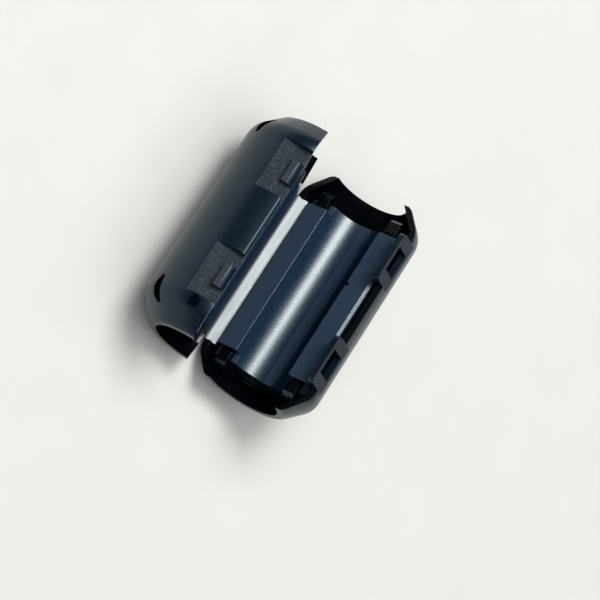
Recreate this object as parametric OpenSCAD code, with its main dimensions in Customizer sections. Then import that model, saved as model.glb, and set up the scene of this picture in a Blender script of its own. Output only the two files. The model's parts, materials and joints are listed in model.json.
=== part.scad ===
// Clip-on ferrite bead for a round cable, standing open on its two backs.
// A moulded case of two half shells, joined along one edge by a thin film hinge,
// holds a half-round ferrite core in each shell. Two loops on the lower shell
// latch over two wedges on the upper shell.
//
// Each half is drawn in the closed clip's frame: Y runs along the cable, X points
// from the hinge to the latch, and Z = 0 is the plane where the cores meet.

/* [Core] */
// Bore of the two half cores together
bore_d = 9; // [7:0.1:10]
// Thickness of the core between its bore and its back
core_wall = 3.5; // [3:0.1:4.2]
// Length of the core
core_len = 27; // [24:0.1:34]
// Length of the step at each end of the lands
notch_len = 1.4; // [1:0.1:2]
// Depth of the step below the lands
notch_h = 1.4; // [1:0.1:2]
// Bevel along the outer edges of the lands
core_edge = 0.4; // [0.1:0.05:0.6]
// Gap between the two cores when the clip is shut
core_gap = 0.1; // [0.05:0.05:0.3]

/* [Case] */
// Room between the core and the case wall
core_room = 0.75; // [0.7:0.05:1.2]
// Thickness of the case wall
wall = 1.0; // [0.8:0.05:1.2]
// How far the straight middle runs past each end of the core
straight_over = 0.5; // [0.3:0.1:1]
// Length of each tapered end
end_len = 3.25; // [2.8:0.05:4.5]
// Room round the bore at the cable opening in each end
cable_room = 1.1; // [0.6:0.1:1.5]
// Width of the end face round the cable opening
nose_wall = 1.15; // [0.9:0.05:1.4]
// How far the soft shoulder runs each way from the corner
shoulder = 1.2; // [0.4:0.1:2]
// Bevel on the outer edge of each end face
nose_edge = 0.3; // [0.1:0.05:0.5]
// Depth of the flat cut across the shoulder at the back of each end
facet_depth = 0.5; // [0.3:0.05:0.6]
// Gap between the two rims when the clip is shut
rim_gap = 0.1; // [0.05:0.05:0.3]

/* [Cradle] */
// Clearance between a core and what holds it
core_fit = 0.08; // [0.05:0.01:0.15]
// Distance from each end of the core to the middle of a cradle rib
rib_inset = 5.5; // [3:0.1:8]
// Thickness of a cradle rib
rib_t = 1.2; // [0.8:0.1:2]
// Depth of the ribs' tops below the lands
rib_drop = 3.2; // [2.8:0.1:4.5]
// Distance from the bore to each finger
finger_room = 0.5; // [0.3:0.1:0.8]
// Width of a finger
finger_w = 1.8; // [1.2:0.1:2.2]
// Thickness of a finger
finger_t = 1.2; // [0.8:0.1:1.4]
// Depth of the fingers' tops below the rim
finger_drop = 0.25; // [0.1:0.05:0.5]
// Slope at the fingers' tips and tops
finger_bevel = 0.45; // [0.2:0.05:0.6]

/* [Latch] */
// Distance from each end of the straight middle to the middle of a latch
latch_inset = 5.35; // [4.6:0.05:7]
// Length of a loop along the case
loop_len = 7.6; // [6.5:0.1:8.2]
// Height of a loop above the rim
loop_h = 2.6; // [2.2:0.1:3.4]
// Thickness of a loop
loop_t = 0.85; // [0.6:0.05:0.9]
// Height of the bar across the top of a loop
bar_h = 0.6; // [0.5:0.05:0.9]
// Depth of a loop's foot below the rim
loop_foot = 1.6; // [1:0.1:3]
// Radius of a loop's top corners
loop_r = 0.7; // [0.3:0.1:1]
// Length of a wedge along the case
wedge_len = 3.5; // [2.5:0.1:4.2]
// Height of the lead-in slope of a wedge
wedge_lead = 0.5; // [0.3:0.1:1]
// How far a wedge's face stays inside the case's outer line
wedge_inset = 0.12; // [0.05:0.01:0.3]
// Clearance between loop, wedge and pocket
latch_gap = 0.17; // [0.15:0.01:0.25]
// Depth of the sill of a loop's window below the rim
sill_drop = 0.95; // [0.3:0.05:1.2]
// Thickness of the wall behind a pocket
pad_t = 0.55; // [0.4:0.05:0.7]
// Height of the wall behind a pocket
pad_h = 3.2; // [2:0.1:4]

/* [Hinge] */
// Thickness of the film hinge
film_t = 0.5; // [0.3:0.05:0.8]
// Distance from each end of the straight middle to the end of the film
film_inset = 1.6; // [1:0.1:5]
// Height of the leaf that carries the film
leaf_h = 1; // [0.6:0.1:1.4]
// Width of the leaf's top outside the slope
leaf_top = 0.15; // [0.1:0.05:0.3]
// Depth of the slope that runs from the film into the shell
slope_h = 0.8; // [0.4:0.1:1]
// Clearance round the film at the upper leaf
film_gap = 0.05; // [0.02:0.01:0.1]
// Angle between the two halves as they stand
open_angle = 62; // [20:1:150]

/* [Hidden] */
$fn = 96;

bore_r = bore_d / 2;
core_r = bore_r + core_wall;
in_r = core_r + core_room;
case_r = in_r + wall;
cable_r = bore_r + cable_room;
nose_r = cable_r + nose_wall;
shoulder_y = core_len / 2 + straight_over;
end_y = shoulder_y + end_len;
// Slope of the tapered ends, as length per unit of radius
taper = (end_y - shoulder_y) / (case_r - nose_r);
taper_angle = atan(1 / taper);
// The taper's inner wall runs parallel to the outer one
in_y = end_y - (in_r - cable_r) * taper;
mid_r = (case_r + in_r) / 2;
mid_nose_r = (nose_r + cable_r) / 2;
mid_y = end_y - (mid_r - mid_nose_r) * taper;

core_top = core_gap / 2;
rim_top = rim_gap / 2;
notch_z = core_top + notch_h;
finger_y = core_len / 2 + core_fit;
land_y = core_len / 2 - notch_len;
hook_y = land_y + core_fit;
finger_x = bore_r + finger_room;
rib_pitch = core_len - 2 * rib_inset;
hook_z = notch_z - core_fit;

latch_pitch = 2 * (shoulder_y - latch_inset);
loop_in = case_r - loop_t;
pad_x = loop_in - latch_gap;
pad_len = loop_len + 2 * latch_gap;
window_len = wedge_len + 2 * latch_gap;
window_top = loop_h - rim_top - bar_h;
wedge_top = window_top - latch_gap;
wedge_x = case_r - wedge_inset;

hinge_r = case_r + film_t / 2;
film_len = 2 * (shoulder_y - film_inset);
leaf_x = hinge_r - film_gap;
// Both backs stand on the table, so each half rolls by the same angle
roll = 90 - open_angle / 2;
shell_black = [0.10, 0.12, 0.15];
core_grey = [0.20, 0.26, 0.33];
// Larger than any part of the clip
reach = 4 * (end_y + case_r);

// Points of a soft corner at p, between a and b, starting d from the corner
function soft(a, p, b, d, n = 6) =
    let (u = p + d * (a - p) / norm(a - p), v = p + d * (b - p) / norm(b - p))
    [for (i = [0:n]) let (s = i / n) pow(1 - s, 2) * u + 2 * s * (1 - s) * p + s * s * v];

// Half of a turned shape below the split plane, from a profile of radius and length
module half_turn() {
    rotate([-90, 0, 0])
        rotate_extrude(angle = 180)
            children();
}

// A profile of X and Z, extruded along the case about its middle
module along(len) {
    rotate([90, 0, 0])
        linear_extrude(len, center = true)
            children();
}

// A profile of Y and Z, extruded in X from x0 to x1
module across(x0, x1) {
    translate([x0, 0, 0])
        rotate([90, 0, 90])
            linear_extrude(x1 - x0)
                children();
}

// Copies at both ends of a distance along the case
module at_both(pitch) {
    for (side = [-1, 1])
        translate([0, side * pitch / 2, 0])
            children();
}

// Copies for both ends of the case, each facing outwards
module at_ends() {
    for (side = [0, 1])
        mirror([0, side, 0])
            children();
}

// Section of the case wall: straight middle, soft shoulders and tapered ends
module wall_section() {
    far = concat(
        soft([case_r, 0], [case_r, shoulder_y], [nose_r, end_y], shoulder),
        [[nose_r + nose_edge / taper, end_y - nose_edge], [nose_r - nose_edge, end_y]],
        [[cable_r, end_y], [in_r, in_y]]
    );
    near = [for (i = [len(far) - 1:-1:0]) [far[i].x, -far[i].y]];
    polygon(concat(far, near));
}

// Everything inside the middle of the wall
module inside_wall() {
    half_turn()
        polygon([
            [0, -end_y], [mid_nose_r, -end_y], [mid_r, -mid_y],
            [mid_r, mid_y], [mid_nose_r, end_y], [0, end_y]
        ]);
}

// Small flat across the shoulder at the back of one end
module end_flat() {
    translate([0, shoulder_y, -case_r])
        rotate([taper_angle / 2, 0, 0])
            translate([-reach / 2, -reach / 2, facet_depth - reach])
                cube(reach);
}

// One bare half of the case, below the split plane
module half_case() {
    difference() {
        half_turn()
            wall_section();
        at_ends()
            end_flat();
        translate([-reach / 2, -reach / 2, -rim_top])
            cube(reach);
    }
}

// Crescent that carries the core's round back
module rib() {
    along(rib_t)
        intersection() {
            difference() {
                circle(mid_r);
                circle(core_r + core_fit);
            }
            translate([-reach / 2, -rib_drop - reach])
                square(reach);
        }
}

// Hooked finger over the step at one end of the core
module finger() {
    top = -rim_top - finger_drop;
    back = finger_y + finger_t;
    across(finger_x, finger_x + finger_w)
        polygon([
            [finger_y, -case_r], [back, -case_r], [back, top - finger_bevel], [back - finger_bevel, top],
            [hook_y + finger_bevel, top], [hook_y, top - finger_bevel], [hook_y, -hook_z], [finger_y, -hook_z]
        ]);
}

// What holds a core in its shell: two ribs and a finger at each corner
module cradle() {
    intersection() {
        union() {
            at_both(rib_pitch)
                rib();
            at_ends()
                for (side = [0, 1])
                    mirror([side, 0, 0])
                        finger();
        }
        inside_wall();
    }
}

// Plate that stands on the lower rim
module loop() {
    half = loop_len / 2;
    top = loop_h - rim_top;
    across(loop_in, case_r) {
        translate([-half, -loop_foot])
            square([loop_len, loop_foot + top - loop_r]);
        translate([-half + loop_r, 0])
            square([loop_len - 2 * loop_r, top]);
        for (side = [-1, 1])
            translate([side * (half - loop_r), top - loop_r])
                circle(loop_r);
    }
}

// Window through a loop and the rim below it
module window() {
    sill = -rim_top - sill_drop;
    across(core_r, case_r + wall)
        translate([-window_len / 2, sill])
            square([window_len, window_top - sill]);
}

// Flat pocket in the upper shell for one loop
module pocket() {
    translate([pad_x, -pad_len / 2, 0])
        cube([reach, pad_len, reach]);
}

// Catch in a pocket: the loop's bar rides up its slope and drops behind it
module wedge() {
    foot = pad_x - pad_t / 2;
    along(wedge_len)
        polygon([
            [foot, rim_top], [pad_x, rim_top], [wedge_x, rim_top + wedge_lead],
            [wedge_x, wedge_top], [foot, wedge_top]
        ]);
}

// Walls behind the two pockets, inside the upper shell
module pads() {
    intersection() {
        at_both(latch_pitch)
            along(pad_len + 2 * pad_t)
                translate([pad_x - pad_t, rim_top])
                    square([case_r - pad_x + pad_t, pad_h]);
        mirror([0, 0, 1])
            inside_wall();
    }
}

// Leaf along the hinge, below the split plane
module leaf() {
    translate([-leaf_x, -film_len / 2, -leaf_h])
        cube([leaf_x - mid_r, film_len, leaf_h - rim_top]);
}

// What the slope beside the film takes from the rim's inner edge
module slope() {
    high = [leaf_top - leaf_x, -rim_top];
    low = [-in_r, -slope_h];
    deep = 2 * low - high;
    along(film_len)
        polygon([high, deep, [deep.x, rim_top], [high.x, rim_top]]);
}

// One half of the case with its hinge leaf and its cradle, below the split plane
module half_shell() {
    difference() {
        union() {
            half_case();
            leaf();
        }
        slope();
    }
    cradle();
}

// Round bead of film along the hinge line
module film(radius, len) {
    translate([-hinge_r, 0, 0])
        rotate([90, 0, 0])
            cylinder(r = radius, h = len, center = true);
}

// A half-round core below the split plane, stepped at its ends
module half_core() {
    difference() {
        along(core_len)
            difference() {
                circle(core_r);
                circle(bore_r);
                translate([-reach / 2, -core_top])
                    square(reach);
                for (side = [-1, 1])
                    translate([side * core_r, -core_top])
                        rotate(45)
                            square(core_edge * sqrt(2), center = true);
            }
        at_ends()
            translate([-reach / 2, land_y, -notch_z])
                cube(reach);
    }
}

// Puts the lower half, drawn closed, where it stands
module stand_lower() {
    rotate([0, -roll, 0])
        children();
}

// Puts the upper half, drawn closed, where it stands
module stand_upper() {
    stand_lower()
        translate([-hinge_r, 0, 0])
            rotate([0, -open_angle, 0])
                translate([hinge_r, 0, 0])
                    children();
}

module lower_shell() {
    color(shell_black)
        stand_lower() {
            difference() {
                union() {
                    half_shell();
                    at_both(latch_pitch)
                        loop();
                }
                at_both(latch_pitch)
                    window();
            }
            film(film_t / 2, film_len);
        }
}

module upper_shell() {
    color(shell_black)
        stand_upper()
            difference() {
                union() {
                    difference() {
                        union() {
                            mirror([0, 0, 1])
                                half_shell();
                            pads();
                        }
                        at_both(latch_pitch)
                            pocket();
                    }
                    at_both(latch_pitch)
                        wedge();
                }
                film(film_t / 2 + film_gap, film_len + 2 * film_gap);
            }
}

module lower_core() {
    color(core_grey)
        stand_lower()
            half_core();
}

module upper_core() {
    color(core_grey)
        stand_upper()
            mirror([0, 0, 1])
                half_core();
}

lower_shell();
upper_shell();
lower_core();
upper_core();
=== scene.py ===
# %% [markdown]
# A clip-on ferrite bead, standing open on a table
# The real object is a black moulded clip that is pressed round a cable to quiet its
# electrical noise. Two half shells are joined along one edge by a thin film, and each
# holds a half-round core of sintered ferrite.
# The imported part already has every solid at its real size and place, so none of them is
# modelled again. This lesson dresses it: the moulded edges are softened, each surface
# gets the finish that it shows, the film is laid over the hinge, and the whole is lit and
# looked at from above.

import json
from math import hypot, pi, radians

import bmesh
import bpy
from mathutils import Matrix, Vector


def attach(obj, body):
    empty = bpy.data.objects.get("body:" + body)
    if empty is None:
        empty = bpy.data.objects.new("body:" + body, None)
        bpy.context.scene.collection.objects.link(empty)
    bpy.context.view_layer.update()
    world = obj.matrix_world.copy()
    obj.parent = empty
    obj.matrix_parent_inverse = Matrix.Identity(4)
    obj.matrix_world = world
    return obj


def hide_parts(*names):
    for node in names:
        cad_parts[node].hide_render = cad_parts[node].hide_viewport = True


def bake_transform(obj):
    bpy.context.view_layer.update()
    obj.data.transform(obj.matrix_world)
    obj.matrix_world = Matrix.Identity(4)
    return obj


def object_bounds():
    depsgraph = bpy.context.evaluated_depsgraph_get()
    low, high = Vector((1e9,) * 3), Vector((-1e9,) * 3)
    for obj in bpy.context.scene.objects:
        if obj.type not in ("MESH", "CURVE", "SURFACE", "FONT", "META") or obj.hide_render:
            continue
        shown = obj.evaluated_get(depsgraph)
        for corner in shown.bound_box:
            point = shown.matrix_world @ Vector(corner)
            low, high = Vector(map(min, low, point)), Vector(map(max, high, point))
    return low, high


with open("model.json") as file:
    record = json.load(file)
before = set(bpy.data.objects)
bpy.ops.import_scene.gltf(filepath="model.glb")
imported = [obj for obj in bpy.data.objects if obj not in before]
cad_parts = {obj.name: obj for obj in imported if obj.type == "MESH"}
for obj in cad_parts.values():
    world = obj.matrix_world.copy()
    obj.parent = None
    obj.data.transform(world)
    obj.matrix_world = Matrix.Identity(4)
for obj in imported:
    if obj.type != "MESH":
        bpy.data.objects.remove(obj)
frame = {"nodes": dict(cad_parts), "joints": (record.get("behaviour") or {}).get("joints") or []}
cad_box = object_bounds()
MM = 0.001
print("nodes:", ", ".join(sorted(frame["nodes"])))
print("size in mm:", [round(side / MM, 2) for side in cad_box[1] - cad_box[0]])

# %% [markdown]
# The shut clip is the easy place to think
# Both halves lean over on the table, so their flats and bores are slanted in the scene.
# A designer draws them shut instead, with the cable along Y, the latch at +X and the two
# cores meeting at Z = 0. The hinge's travel to its shut limit is the angle between the
# halves, so it gives the two matrices that stand each half on the table. Their inverses
# answer the question that every finish asks: where is this surface on the shut clip?

# %% From the shut clip to the table and back
HALVES = ("lower", "upper")
hinge = frame["joints"][0]
open_angle = radians(-hinge["range_deg"][0])
lean = pi / 2 - open_angle / 2
pivot = Matrix.Translation(hinge["pos_m"])
opening = pivot @ Matrix.Rotation(-open_angle, 4, "Y") @ pivot.inverted()
stand = {"lower": Matrix.Rotation(-lean, 4, "Y")}
stand["upper"] = opening @ stand["lower"]
shut = {half: stand[half].inverted() for half in HALVES}
print("the halves stand", round(-hinge["range_deg"][0]), "degrees apart")

# %% [markdown]
# Shader maths as plain arithmetic
# A procedural finish is arithmetic on coordinates and noise. Placing every Math node by
# hand hides that idea, so one small class stands for an output socket, and the usual
# signs between two of them add the Math nodes. All other nodes come from a single method
# that takes the node's type, its settings and the values or wires for its sockets. A
# socket goes by its name, or by its number where a node has two of the same name.

# %% A wire in a material
class Wire:
    """One output socket of a material, with arithmetic that adds Math nodes."""

    def __init__(self, tree, socket=None):
        self.tree = tree
        self.socket = socket

    def node(self, kind, settings=None, inputs=None, output=0):
        """Adds a node of this type, sets it, joins its sockets and returns one output."""
        made = self.tree.nodes.new(kind)
        for name, value in (settings or {}).items():
            setattr(made, name, value)
        for socket, value in (inputs or {}).items():
            if isinstance(value, Wire):
                self.tree.links.new(value.socket, made.inputs[socket])
            else:
                made.inputs[socket].default_value = value
        return Wire(self.tree, made.outputs[output] if made.outputs else None)

    def math(self, operation, first, second):
        return self.node("ShaderNodeMath", {"operation": operation}, {0: first, 1: second})

    def __add__(self, other):
        return self.math("ADD", self, other)

    def __sub__(self, other):
        return self.math("SUBTRACT", self, other)

    def __rsub__(self, other):
        return self.math("SUBTRACT", other, self)

    def __mul__(self, other):
        return self.math("MULTIPLY", self, other)

    __radd__ = __add__
    __rmul__ = __mul__


# %% [markdown]
# Where a finish reads its place
# A finish could be painted on a UV map, but here every grain and streak follows the
# moulding tool, not the surface's outline. So each material takes the object coordinates
# of its half, and one Mapping node turns and scales them into millimetres on the shut
# clip. A noise there has its real grain size, and a streak can run along the cable. A
# finish that both halves have is made twice, because each half has its own Mapping node.

# %% Start and finish a material
def start_material(name, half):
    """An empty material, and a wire with millimetres on the shut clip."""
    material = bpy.data.materials.new(f"{name}_{half}")
    material.use_nodes = True
    material.node_tree.nodes.clear()
    place = Wire(material.node_tree).node("ShaderNodeTexCoord", output="Object")
    return material, place.node("ShaderNodeMapping", inputs={
        "Vector": place,
        "Location": shut[half].to_translation() / MM,
        "Rotation": shut[half].to_euler(),
        "Scale": (1 / MM, 1 / MM, 1 / MM),
    })


DARK_MARK = {
    "Base Color": (0.0012, 0.0018, 0.0028, 1.0),
    "Roughness": 0.3,
    "Specular IOR Level": 0.0,
}


def finish_material(material, wire, marks=None, under=DARK_MARK, **sockets):
    """Joins a Principled shader to the output, with another one where the marks are 1."""
    inputs = {name.replace("_", " "): value for name, value in sockets.items()}
    shader = wire.node("ShaderNodeBsdfPrincipled", inputs=inputs)
    if marks:
        other = wire.node("ShaderNodeBsdfPrincipled", inputs=under)
        shader = wire.node("ShaderNodeMixShader", inputs={0: marks, 1: shader, 2: other})
    wire.node("ShaderNodeOutputMaterial", inputs={"Surface": shader})
    print(material.name, len(material.node_tree.nodes), "nodes")
    return material


# %% [markdown]
# Four tools that every finish shares
# Noise gives clouds, grain and streaks, and a stretch below one along an axis draws it
# out that way. A band cuts a range out of a noise and spreads it from 0 to 1, so a cloud
# can become a speck. A blend mixes two colours. A relief turns a height in millimetres
# into a bump, so that the light finds the grain too.

# %% Noise, band, blend and relief
def noise(place, waves, detail=2.0, stretch=(1.0, 1.0, 1.0)):
    """Noise from 0 to 1 with so many waves a millimetre."""
    drawn = place.node("ShaderNodeMapping", inputs={"Vector": place, "Scale": stretch})
    inputs = {"Vector": drawn, "Scale": waves, "Detail": detail}
    return drawn.node("ShaderNodeTexNoise", inputs=inputs)


def band(wire, low, high):
    """0 below the low level of a wire, 1 above the high one."""
    inputs = {"Value": wire, "From Min": low, "From Max": high}
    return wire.node("ShaderNodeMapRange", inputs=inputs)


# The Mix node has a set of sockets for each type of data, and these are the colour's
MIX_SHARE, MIX_LOW, MIX_HIGH, MIX_RESULT = 0, 6, 7, 2


def blend(share, low, high):
    """A colour between two colours."""
    inputs = {MIX_SHARE: share, MIX_LOW: low, MIX_HIGH: high}
    return share.node("ShaderNodeMix", {"data_type": "RGBA"}, inputs, MIX_RESULT)


def relief(height, depth):
    """A normal from a height, with its depth in millimetres."""
    return height.node("ShaderNodeBump", inputs={"Height": height, "Distance": depth * MM})


# %% [markdown]
# A mark with a ragged edge
# The clip has a few dark marks. Each could be a small patch of mesh with a material of
# its own, but a mark is part of a skin. So it is a level that grows with the distance
# from a centre, counted in its three radii, and noise is added to it. The mark ends where
# the level passes a fixed edge, so the noise makes its outline ragged.

# %% Marks
# The level's growth over one radius, and the level at which a mark has ended
MARK_SLOPE = 0.7
MARK_EDGE = 0.78


def mark(place, centre, radii, waves=0.6, ragged=0.3, soft=0.06):
    """1 in a ragged ellipsoid on the shut clip, 0 outside."""
    def vector_math(operation, inputs, output=0):
        return place.node("ShaderNodeVectorMath", {"operation": operation}, inputs, output)

    offset = vector_math("SUBTRACT", {0: place, 1: centre})
    share = vector_math("DIVIDE", {0: offset, 1: radii})
    away = vector_math("LENGTH", {0: share}, "Value")
    level = away * MARK_SLOPE + noise(place, waves) * ragged
    return 1 - band(level, MARK_EDGE - soft, MARK_EDGE)


# %% [markdown]
# Satin outside
# The case is black nylon, and the surface of the moulding tool decides how it shines. The
# outside has the soft sheen of a finely blasted tool, over a bluish black with slow
# clouds in it. Three dark patches lie on the upper half: a faint one by the near latch,
# and one on each shoulder. They are mixed in as a second shader without any sheen.

# %% The case's satin skin
SATIN_DARK = (0.0015, 0.0055, 0.0150, 1.0)
SATIN_LIGHT = (0.0030, 0.0085, 0.0210, 1.0)
COOL_SHEEN = (0.65, 0.88, 1.0, 1.0)
# Centres and radii of the dark patches in millimetres on the shut clip: one by the near
# latch, and one on each shoulder
NEAR_LATCH_PATCH = {
    "centre": (9.4, -13.5, 2.6),
    "radii": (1.6, 1.7, 1.4),
    "waves": 1.1,
    "ragged": 0.6,
    "soft": 0.20,
}
NEAR_LATCH_PATCH_WEIGHT = 0.9
SHOULDER_PATCHES = [
    {"centre": (5.3, -14.0, 7.9), "radii": (0.8, 2.6, 2.0)},
    {"centre": (4.7, 14.3, 8.0), "radii": (1.0, 2.2, 1.6)},
]


def satin(half):
    material, place = start_material("case_satin", half)
    clouds = noise(place, waves=0.35, detail=3.0)
    grain = noise(place, waves=7.0, detail=3.0)
    marks = None
    if half == "upper":
        marks = NEAR_LATCH_PATCH_WEIGHT * mark(place, **NEAR_LATCH_PATCH)
        for shoulder_patch in SHOULDER_PATCHES:
            marks = marks + mark(place, **shoulder_patch)
    return finish_material(
        material,
        place,
        marks,
        Base_Color=blend(band(clouds, low=0.3, high=0.7), SATIN_DARK, SATIN_LIGHT),
        Roughness=0.27 + 0.10 * grain,
        Specular_IOR_Level=0.50,
        Specular_Tint=COOL_SHEEN,
        Normal=relief(grain, depth=0.006),
    )


satin_skin = {half: satin(half) for half in HALVES}

# %% [markdown]
# Sparked pockets
# The floors of the two pockets look coarser than the skin round them. Spark erosion gives
# a tool such a crust of pits, about a third of a millimetre wide, and leaves the moulding
# dull. Each pit throws light its own way, and these glints are painted as pale specks in
# the colour, where the roughness is also lower. Two noises of different size are
# multiplied, so the specks gather in patches and never look like printed dots.

# %% The pockets' sparked floor
# The floor's colour, and a paler one that paints the pits' glints
FLOOR_DARK = (0.016, 0.024, 0.036, 1.0)
FLOOR_GLINT = (0.070, 0.088, 0.105, 1.0)


def sparked(half):
    material, place = start_material("case_sparked", half)
    pits = noise(place, waves=3.2, detail=4.0)
    patches = noise(place, waves=0.55)
    glint_specks = band(pits, low=0.42, high=0.72) * band(patches, low=0.25, high=0.75)
    return finish_material(
        material,
        place,
        Base_Color=blend(glint_specks, FLOOR_DARK, FLOOR_GLINT),
        Roughness=0.80 - 0.20 * glint_specks,
        Specular_IOR_Level=0.30,
        Normal=relief(pits, depth=0.03),
    )


sparked_floor = sparked("upper")

# %% [markdown]
# Rubbed wedges
# Each pocket holds a latch wedge, and its top and sides are an even, dull dark grey, as
# if the loop that slides over it had rubbed them. None of the floor's specks is on it, so
# the wedge stands out from its pocket. Faint lines run the way the loop slides. They are
# a noise with little stretch in X and Z, which draws it out in those two directions.

# %% The wedges' rubbed skin
WEDGE_DARK = (0.014, 0.020, 0.028, 1.0)
WEDGE_LIGHT = (0.026, 0.034, 0.044, 1.0)


def rubbed(half):
    material, place = start_material("case_rubbed", half)
    lines = noise(place, waves=3.0, detail=3.0, stretch=(0.15, 1.0, 0.15))
    return finish_material(
        material,
        place,
        Base_Color=blend(lines, WEDGE_DARK, WEDGE_LIGHT),
        Roughness=0.50 + 0.15 * lines,
        Specular_IOR_Level=0.25,
        Normal=relief(lines, depth=0.010),
    )


rubbed_wedge = rubbed("upper")

# %% [markdown]
# Polished inside
# The inside of the case is deep black and glossy. Tools are often polished there, so that
# the moulding lets go. The plastic is the same as outside, but its colour is painted darker
# here, as painted shade for the little light that finds its way in, and the rims get it too.
# Its small sharp glints come from a low roughness with slow drift, and it has hardly any
# relief.

# %% The case's polished inside
# Painted shade: the outside's plastic, coloured darker inside the case and on the rims
INSIDE_SHADED_DARK = (0.0010, 0.0014, 0.0028, 1.0)
INSIDE_SHADED_LIGHT = (0.0022, 0.0030, 0.0055, 1.0)


def polished(half):
    material, place = start_material("case_polished_and_shaded", half)
    drift = noise(place, waves=0.6)
    return finish_material(
        material,
        place,
        Base_Color=blend(drift, INSIDE_SHADED_DARK, INSIDE_SHADED_LIGHT),
        Roughness=0.10 + 0.12 * drift,
        Specular_IOR_Level=0.40,
        Normal=relief(drift, depth=0.010),
    )


polished_and_shaded_inside = {half: polished(half) for half in HALVES}

# %% [markdown]
# Bright film
# The film is the thinnest and smoothest piece of the moulding. Bending stretches its
# skin, so it shines more than the rest and has faint lines along the fold. An index of
# refraction above that of plastic gives the strip its nearly white shine under the lamp.

# %% The film's stretched skin
FILM_DARK = (0.010, 0.014, 0.020, 1.0)
FILM_LIGHT = (0.020, 0.025, 0.032, 1.0)
PALE_SHEEN = (0.90, 0.99, 1.0, 1.0)


def stretched(half):
    material, place = start_material("film_stretched", half)
    lines = noise(place, waves=2.4, detail=3.0, stretch=(1.0, 0.10, 1.0))
    return finish_material(
        material,
        place,
        Base_Color=blend(lines, FILM_DARK, FILM_LIGHT),
        Roughness=0.26 + 0.14 * lines,
        IOR=2.0,
        Specular_Tint=PALE_SHEEN,
        Normal=relief(lines, depth=0.010),
    )


film_skin = stretched("lower")

# %% [markdown]
# Pressed ferrite
# Ferrite is a ceramic: powder is pressed in a die and fired. The groove and the back keep
# the die's skin, a dark slate blue with a metallic glint, fine grain and faint streaks
# along the groove. A high index of refraction makes the groove's broad highlight, and the
# grain breaks it into sparkle.
# One wall of each groove gets painted shade from its bottom up to the land: a second,
# dull shader between limits in X, darker and more even, with almost no shine. It lies on
# the latch side of the lower groove and on the hinge side of the upper one, the walls that
# the camera sees dark.

# %% The core's pressed skin
SLATE_DARK = (0.005, 0.020, 0.046, 1.0)
SLATE_LIGHT = (0.010, 0.034, 0.070, 1.0)
# Painted shade: a darker, matt copy of the pressed skin
SHADED_WALL = {
    "Base Color": (0.0060, 0.0175, 0.040, 1.0),
    "Roughness": 0.6,
    "Specular IOR Level": 0.02,
}
SHADED_SIDE = {"lower": 1.0, "upper": -1.0}
# Millimetres from the middle of the groove, where the painted shade fades in and out again
SHADE_FADE_IN = (0.0, 1.4)
SHADE_FADE_OUT = (4.6, 5.0)


def pressed(half):
    material, place = start_material("ferrite_pressed", half)
    sideways = place.node("ShaderNodeSeparateXYZ", inputs={"Vector": place}, output="X")
    across = sideways * SHADED_SIDE[half]
    streaks = noise(place, waves=2.6, detail=3.0, stretch=(1.0, 0.07, 1.0))
    grain = noise(place, waves=4.2, detail=5.0)
    return finish_material(
        material,
        place,
        band(across, *SHADE_FADE_IN) - band(across, *SHADE_FADE_OUT),
        SHADED_WALL,
        Base_Color=blend(grain, SLATE_DARK, SLATE_LIGHT),
        Roughness=0.23 + 0.06 * band(grain, low=0.35, high=0.65) + 0.05 * streaks,
        IOR=1.95,
        Specular_Tint=PALE_SHEEN,
        Normal=relief(0.8 * grain + 0.2 * streaks, depth=0.015),
    )


pressed_skin = {half: pressed(half) for half in HALVES}

# %% [markdown]
# Ground lands
# After firing, the flat lands where the two cores meet are ground true, so that no air
# gap is left. Grinding takes the glint away: the lands are paler, matt and even, with
# hair-fine scratches. One small chip at the inner edge of a lower land is dark.

# %% The core's ground lands
LAND_DARK = (0.026, 0.048, 0.084, 1.0)
LAND_LIGHT = (0.040, 0.066, 0.108, 1.0)
CHIP = {"centre": (4.62, 3.2, 0.0), "radii": (0.4, 0.35, 0.5)}


def ground(half):
    material, place = start_material("ferrite_ground", half)
    scratches = noise(place, waves=3.0, detail=3.0, stretch=(1.0, 0.06, 1.0))
    grain = noise(place, waves=6.0, detail=4.0)
    return finish_material(
        material,
        place,
        mark(place, **CHIP) if half == "lower" else None,
        Base_Color=blend(grain, LAND_DARK, LAND_LIGHT),
        Roughness=0.58 + 0.14 * scratches,
        Specular_IOR_Level=0.02,
        Normal=relief(0.5 * grain + 0.5 * scratches, depth=0.012),
    )


ground_land = {half: ground(half) for half in HALVES}

# %% [markdown]
# Soft edges
# A solid from CAD has knife edges, and no moulding has. Light finds the small round on
# every edge, so it matters more than its size suggests. Each node is copied, its loose
# triangles are merged and flat neighbours dissolved, and then only the convex edges are
# rounded: inner corners of a moulding stay crisp, because there the tool has the edge.
# Bevel narrows all its rounds alike where one of its edges lacks room, so wide rounds
# need a call of their own.

# %% Rounds on convex edges
LEAST_ANGLE = radians(28)


def convex_edges(shape):
    return [edge for edge in shape.edges
            if edge.is_convex and edge.calc_face_angle(0) > LEAST_ANGLE]


def round_edges(shape, edges, width, segments):
    """Rounds these edges of a shape, with the width in millimetres."""
    bmesh.ops.bevel(
        shape, geom=edges, offset=width * MM, offset_type="OFFSET", affect="EDGES",
        segments=segments, profile=0.5, material=-1, clamp_overlap=True)
    print(len(edges), "edges rounded by", width, "mm")


# %% [markdown]
# Rounder lips at the latch
# Three long edges at the upper half's latch carry a bright line each, so they are rounder
# than the rest: the rim between the pockets, and the front of each wedge. They are found
# by their place on the shut clip. Short edges are left out, because they lack the room
# for so wide a round.

# %% Copies with rounded edges
# Where a lip lies and how long it is at least, in millimetres on the shut clip
LIP_X = 9.5
LIP_Z = 0.7
LIP_LEAST = 1.0
# A lip's round in millimetres, and the steps in a round
LIP_ROUND = 0.5
LIP_SEGMENTS = 8
EDGE_SEGMENTS = 3
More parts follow.
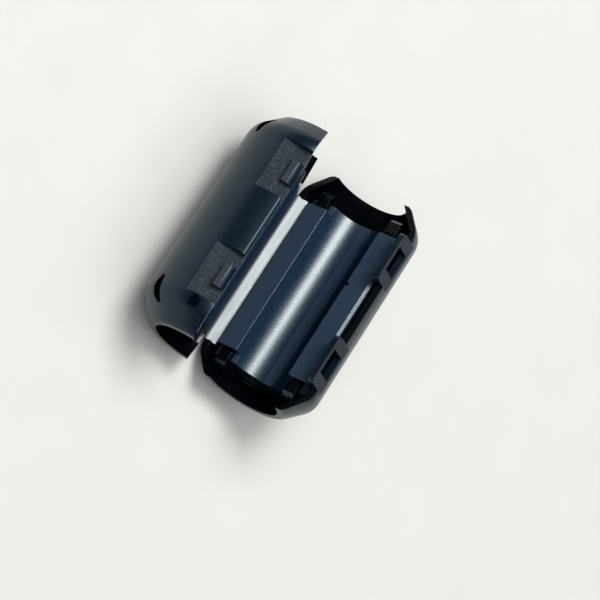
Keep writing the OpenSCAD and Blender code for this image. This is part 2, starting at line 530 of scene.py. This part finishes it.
# Corners this many millimetres apart are merged, and faces within this angle are one
SAME_PLACE = 0.0005
SAME_PLANE = radians(1)


def on_upper_lip(edge):
    """True on the long edges at the upper half's latch."""
    ends = [shut["upper"] @ vertex.co / MM for vertex in edge.verts]
    long = abs(ends[1].y - ends[0].y) > LIP_LEAST
    return long and all(end.x > LIP_X and abs(end.z) < LIP_Z for end in ends)


def rounded_copy(node, width):
    """A bmesh of a CAD node, merged, with its convex edges rounded."""
    shape = bmesh.new()
    shape.from_mesh(frame["nodes"][node].data)
    bmesh.ops.remove_doubles(shape, verts=shape.verts, dist=SAME_PLACE * MM)
    bmesh.ops.dissolve_limit(
        shape, angle_limit=SAME_PLANE, verts=shape.verts, edges=shape.edges)
    if node == "upper_shell":
        lips = [edge for edge in convex_edges(shape) if on_upper_lip(edge)]
        round_edges(shape, lips, LIP_ROUND, LIP_SEGMENTS)
    round_edges(shape, convex_edges(shape), width, EDGE_SEGMENTS)
    return shape


# %% [markdown]
# From a shape to a piece
# Smooth shading with sharp creases keeps the barrel round and the corners clear. An edge
# is a crease from 40 degrees on, but already from 12 degrees where two finishes meet or a
# large face lies beside it, because there a smooth edge would smear the light. The
# Weighted Normal modifier then lets the large flat faces decide their own shading, so the
# narrow rounds don't bend the light on the flats beside them.

# %% Make a piece
CREASE = radians(40)
FINE_CREASE = radians(12)
LARGE_FACE = 8 * MM ** 2


def make_piece(name, shape, materials):
    """An object from a bmesh, with creases and even flats."""
    for edge in shape.edges:
        finishes = {face.material_index for face in edge.link_faces}
        by_large = any(face.calc_area() > LARGE_FACE for face in edge.link_faces)
        limit = FINE_CREASE if by_large or len(finishes) > 1 else CREASE
        edge.smooth = edge.calc_face_angle(0) < limit
    for face in shape.faces:
        face.smooth = True
    mesh = bpy.data.meshes.new(name)
    shape.to_mesh(mesh)
    shape.free()
    for material in materials:
        mesh.materials.append(material)
    piece = bpy.data.objects.new(name, mesh)
    bpy.context.scene.collection.objects.link(piece)
    piece.modifiers.new("even_flats", "WEIGHTED_NORMAL").keep_sharp = True
    print(name, len(mesh.polygons), "faces")
    return piece


# %% [markdown]
# Which finish a face gets
# Every face of a shell is asked for its place and direction on the shut clip. A floor at
# the depth of the pockets is sparked, and the wedge on it is rubbed, apart from its
# front. What looks towards the cable, lies on the rim or stands inside the wall is
# polished and gets the painted shade. The rest is satin. This costs one rule a finish, and
# no face is picked by hand.

# %% Rules for the faces of a shell
SATIN, POLISHED_AND_SHADED, SPARKED, RUBBED = range(4)
# Places and tolerances in millimetres on the shut clip
LATCH_Y = 8.65
POCKET_X = 8.73
POCKET_HALF = 4.2
WEDGE_HALF = 1.8
FLOOR_PLAY = 0.04
RIM_Z = 0.05
RIM_PLAY = 0.03
SHOULDER_Y = 14.0
SKIN_DEPTH = 1.0
# Limits for the share of a face's normal that points one way
FACING = 0.9
INWARDS = -0.3
WEDGE_FRONT = -0.1
shell_mesh = frame["nodes"]["lower_shell"].data
CASE_R = -min((shut["lower"] @ vertex.co / MM).z for vertex in shell_mesh.vertices)
INNER_R = CASE_R - SKIN_DEPTH
print("case radius", round(CASE_R, 2), "mm")


def shell_finish(half, face):
    """The number of the finish that a face of a shell gets."""
    place = shut[half] @ face.calc_center_median() / MM
    normal = shut[half].to_3x3() @ face.normal
    from_latch = abs(abs(place.y) - LATCH_Y)
    by_latch = half == "upper" and from_latch < POCKET_HALF
    if by_latch and abs(place.x - POCKET_X) < FLOOR_PLAY and normal.x > FACING:
        return SPARKED
    on_wedge = by_latch and place.x > POCKET_X + FLOOR_PLAY and from_latch < WEDGE_HALF
    if on_wedge and normal.z > WEDGE_FRONT:
        return RUBBED
    on_rim = abs(abs(place.z) - RIM_Z) < RIM_PLAY and abs(normal.z) > FACING
    inside = hypot(place.x, place.z) < INNER_R and abs(place.y) < SHOULDER_Y
    looks_in = normal.dot(Vector((place.x, 0, place.z)).normalized()) < INWARDS
    return POLISHED_AND_SHADED if on_rim or inside or looks_in else SATIN


# %% [markdown]
# The two halves of the case
# Each half takes the place of its shell in the picture, and the shell stays, hidden, behind
# it. It rides on the body of its half, so it moves with the hinge. Only the upper
# half has pockets and wedges, so only there the last two finishes are needed.

# %% The case
SHELL_ROUND = 0.07
for half in HALVES:
    shape = rounded_copy(f"{half}_shell", SHELL_ROUND)
    for face in shape.faces:
        face.material_index = shell_finish(half, face)
    skins = [satin_skin[half], polished_and_shaded_inside[half]]
    if half == "upper":
        skins += [sparked_floor, rubbed_wedge]
    piece = make_piece(f"{half}_case", shape, skins)
    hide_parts(f"{half}_shell")
    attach(piece, half)

# %% [markdown]
# The two cores
# A core has two skins: what lies level on the shut clip is ground, and all the rest is as
# it was pressed. The bevel along its land edges is in the solid already, so only a hair
# of rounding is added.

# %% The cores
CORE_ROUND = 0.06
LEVEL = 0.99
PRESSED, GROUND = range(2)
for half in HALVES:
    shape = rounded_copy(f"{half}_core", CORE_ROUND)
    for face in shape.faces:
        normal = shut[half].to_3x3() @ face.normal
        face.material_index = GROUND if abs(normal.z) > LEVEL else PRESSED
    piece = make_piece(f"{half}_ferrite", shape, [pressed_skin[half], ground_land[half]])
    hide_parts(f"{half}_core")
    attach(piece, half)

# %% [markdown]
# The film over the hinge
# On the real clip, film and shells are one moulding: a thin web runs down the slope in
# one shell, through the bottom of the fold and up the slope in the other. A rigid solid
# can't bend, so the imported part has a round bead there, and the web is laid over it.
# Three points make its section: a foot in each half, a little past the end of its slope,
# and the bottom of the fold between. The section is extruded along the cable, the fold is
# bevelled into one hollow curve, and solidify gives it a wall.

# %% The film's section, extruded and rounded
# Millimetres: a foot on the shut clip, and the fold above the hinge's line
FILM_HALF = 12.4
FOOT = Vector((-8.40, -FILM_HALF, -1.04))
TURNED_OVER = Vector((1, 1, -1))
FOLD_RISE = 0.165
FOLD_ROUND = 0.35
FOLD_SEGMENTS = 12
LIFT = 0.015

feet = [stand["lower"] @ (FOOT * MM), stand["upper"] @ (FOOT * TURNED_OVER * MM)]
fold = Vector((hinge["pos_m"][0], feet[0].y, hinge["pos_m"][2] + FOLD_RISE * MM))
lift = Vector((0, 0, LIFT * MM))
shape = bmesh.new()
corners = [shape.verts.new(point + lift) for point in (feet[0], fold, feet[1])]
section = [shape.edges.new(pair) for pair in zip(corners, corners[1:])]
walls = bmesh.ops.extrude_edge_only(shape, edges=section)["geom"]
far_end = [item for item in walls if isinstance(item, bmesh.types.BMVert)]
bmesh.ops.translate(shape, verts=far_end, vec=(0, 2 * FILM_HALF * MM, 0))
creases = [edge for edge in shape.edges if len(edge.link_faces) == 2]
bmesh.ops.bevel(
    shape, geom=creases, offset=FOLD_ROUND * MM, offset_type="OFFSET", affect="EDGES",
    segments=FOLD_SEGMENTS, profile=0.5, material=-1)
print("film section", [round(corner, 2) for corner in fold / MM], len(shape.faces), "faces")

# %% The film's wall
FILM_WALL = 0.05
bmesh.ops.recalc_face_normals(shape, faces=shape.faces)
if sum(face.normal.z for face in shape.faces) < 0:
    bmesh.ops.reverse_faces(shape, faces=shape.faces)
bmesh.ops.solidify(shape, geom=shape.faces, thickness=-FILM_WALL * MM)
bmesh.ops.recalc_face_normals(shape, faces=shape.faces)
film = make_piece("film", shape, [film_skin])
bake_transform(film)

# %% [markdown]
# The table
# The clip lies on a sheet of matt paper. One large square, a little warmer than grey and
# with a faint mottle, is enough, because the camera looks down and never sees a horizon.

# %% The paper under the clip
TABLE_HALF = 1.5
PAPER_DARK = (0.775, 0.78, 0.735, 1.0)
PAPER_LIGHT = (0.835, 0.84, 0.795, 1.0)
shape = bmesh.new()
bmesh.ops.create_grid(shape, x_segments=1, y_segments=1, size=TABLE_HALF)
bmesh.ops.translate(shape, verts=shape.verts, vec=(0, 0, cad_box[0].z))
mesh = bpy.data.meshes.new("table")
shape.to_mesh(mesh)
shape.free()
table = bpy.data.objects.new("table", mesh)
bpy.context.scene.collection.objects.link(table)
paper, place = start_material("paper", "lower")
mottle = noise(place, waves=0.12, detail=3.0)
paper_tone = blend(mottle, PAPER_DARK, PAPER_LIGHT)
mesh.materials.append(finish_material(paper, place, Base_Color=paper_tone, Roughness=0.8))
print("table at", round(cad_box[0].z / MM, 2), "mm")

# %% [markdown]
# One soft lamp, a ceiling and a dim room
# The bright line in the groove and the white film show where the lamp is. A mirror there
# would send the camera's view up and a little to one side, so a square softbox stands
# that way, and its size sets the width of both highlights. A wide ceiling adds a weak
# light from above, and a dim room keeps the shadows open and still leaves the plastic
# black. A lamp's power grows with its area, so each lamp is given by its radiance, and
# its watts are worked out.

# %% Room and lamps
ROOM_COLOUR = (0.095, 0.097, 0.102, 1.0)
world = bpy.data.worlds.new("room")
bpy.context.scene.world = world
world.use_nodes = True
world.node_tree.nodes["Background"].inputs["Color"].default_value = ROOM_COLOUR
world.node_tree.nodes["Background"].inputs["Strength"].default_value = 1.0


def square_lamp(name, way, away, size, radiance):
    """A square lamp at a distance along a direction, looking back at the groove."""
    lamp = bpy.data.lights.new(name, "AREA")
    lamp.shape = "SQUARE"
    lamp.size = size
    lamp.energy = radiance * pi * size ** 2
    made = bpy.data.objects.new(name, lamp)
    turn = way.to_track_quat("Z", "Y").to_matrix().to_4x4()
    made.matrix_world = Matrix.Translation(way * away) @ turn
    bpy.context.scene.collection.objects.link(made)
    print(name, round(lamp.energy, 2), "W")


lamp_way = Vector((-0.25, 0.39, 0.89)).normalized()
square_lamp("softbox", lamp_way, away=0.9, size=0.39, radiance=10.0)
square_lamp("ceiling", Vector((0.0, 0.0, 1.0)), away=1.2, size=2.0, radiance=1.1)

# %% [markdown]
# The camera
# The picture looks down on the open clip, with its long way slanted in the frame. So the
# camera looks at the lower groove from that side, and a turn about its own axis slants
# the clip. A long lens from more than a third of a metre keeps the perspective mild.

# %% Camera
CAMERA_WAY = Vector((-0.4639, -0.2724, 0.8429)).normalized()
CAMERA_AWAY = 0.3676
CAMERA_TURN = radians(96.445)
camera_data = bpy.data.cameras.new("camera")
camera_data.sensor_width = 36
camera_data.lens = 158.7
camera_data.shift_x = -0.0127
camera_data.shift_y = -0.016
camera_data.clip_start = 0.01
camera = bpy.data.objects.new("camera", camera_data)
aim = CAMERA_WAY.to_track_quat("Z", "Y").to_matrix().to_4x4()
turn = Matrix.Rotation(CAMERA_TURN, 4, "Z")
camera.matrix_world = Matrix.Translation(CAMERA_WAY * CAMERA_AWAY) @ (aim @ turn)
bpy.context.scene.collection.objects.link(camera)
bpy.context.scene.camera = camera
bpy.context.scene.view_settings.view_transform = "Standard"
print("camera", CAMERA_AWAY, "m from the groove")
